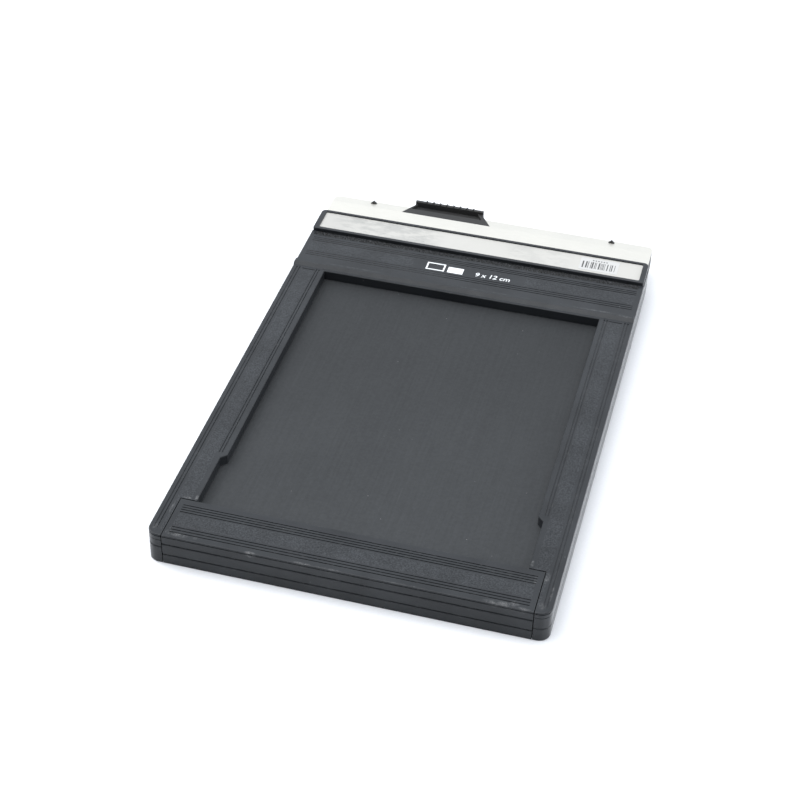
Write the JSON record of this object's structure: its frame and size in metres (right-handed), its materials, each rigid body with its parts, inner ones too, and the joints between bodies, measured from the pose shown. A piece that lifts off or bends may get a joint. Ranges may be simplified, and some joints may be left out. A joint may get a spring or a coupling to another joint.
{
  "type": "sheet film holder",
  "caption": "Flat double-sided holder for cut sheet film with a dark slide on each face, a hinged loading flap and a writing strip.",
  "frame": {"origin": "middle of the bounding box, at its lowest level", "axes": "+Y from the loading flap to the dark-slide handles, +Z through the thickness, +X across the width"},
  "size_m": [0.12, 0.1948, 0.0134],
  "materials": {
    "moulded_black": "matt moulded, grained in panels",
    "slide_black": "satin sheet",
    "grip_black": "satin moulded",
    "bright_metal": "fine satin",
    "memo_white": "matt, takes pencil",
    "velvet": "short pile",
    "septum_black": "matt black",
    "spring_brass": "rolled strip",
    "hinge_tape": "woven cloth tape"
  },
  "bodies": {
    "body": {"upper_body_half": "moulded_black", "upper_film_stop": "septum_black", "upper_trap_spring": "spring_brass", "upper_trap_velvet": "velvet", "upper_velvet_strip": "velvet", "upper_label_frame": "moulded_black", "upper_memo_strip": "memo_white", "upper_film_guide_left": "septum_black", "upper_film_guide_right": "septum_black", "lower_body_half": "moulded_black", "lower_film_stop": "septum_black", "lower_trap_spring": "spring_brass", "lower_trap_velvet": "velvet", "lower_velvet_strip": "velvet", "lower_label_frame": "moulded_black", "lower_memo_strip": "memo_white", "lower_film_guide_left": "septum_black", "lower_film_guide_right": "septum_black", "septum": "septum_black", "trap_block": "moulded_black", "hinge_tape_body_end": "hinge_tape"},
    "loading_flap": {"upper_flap_cover": "moulded_black", "flap_core": "moulded_black", "lower_flap_cover": "moulded_black", "hinge_tape_flap_end": "hinge_tape"},
    "upper_dark_slide": {"upper_slide_blade": "slide_black", "upper_handle_core": "grip_black", "upper_handle_facing": "bright_metal", "upper_handle_grip": "grip_black"},
    "lower_dark_slide": {"lower_slide_blade": "slide_black", "lower_handle_core": "grip_black", "lower_handle_facing": "bright_metal", "lower_handle_grip": "grip_black"}
  },
  "joints": [
    {"name": "upper_slide_pull", "type": "slide", "parent": "body", "child": "upper_dark_slide", "axis": [0, 1, 0], "range_m": [0, 0.155]},
    {"name": "lower_slide_pull", "type": "slide", "parent": "body", "child": "lower_dark_slide", "axis": [0, 1, 0], "range_m": [0, 0.155]},
    {"name": "flap_hinge", "type": "hinge", "parent": "body", "child": "loading_flap", "pos_m": [0, -0.08083, 0.0122], "axis": [-1, 0, 0], "range_deg": [0, 150]}
  ]
}
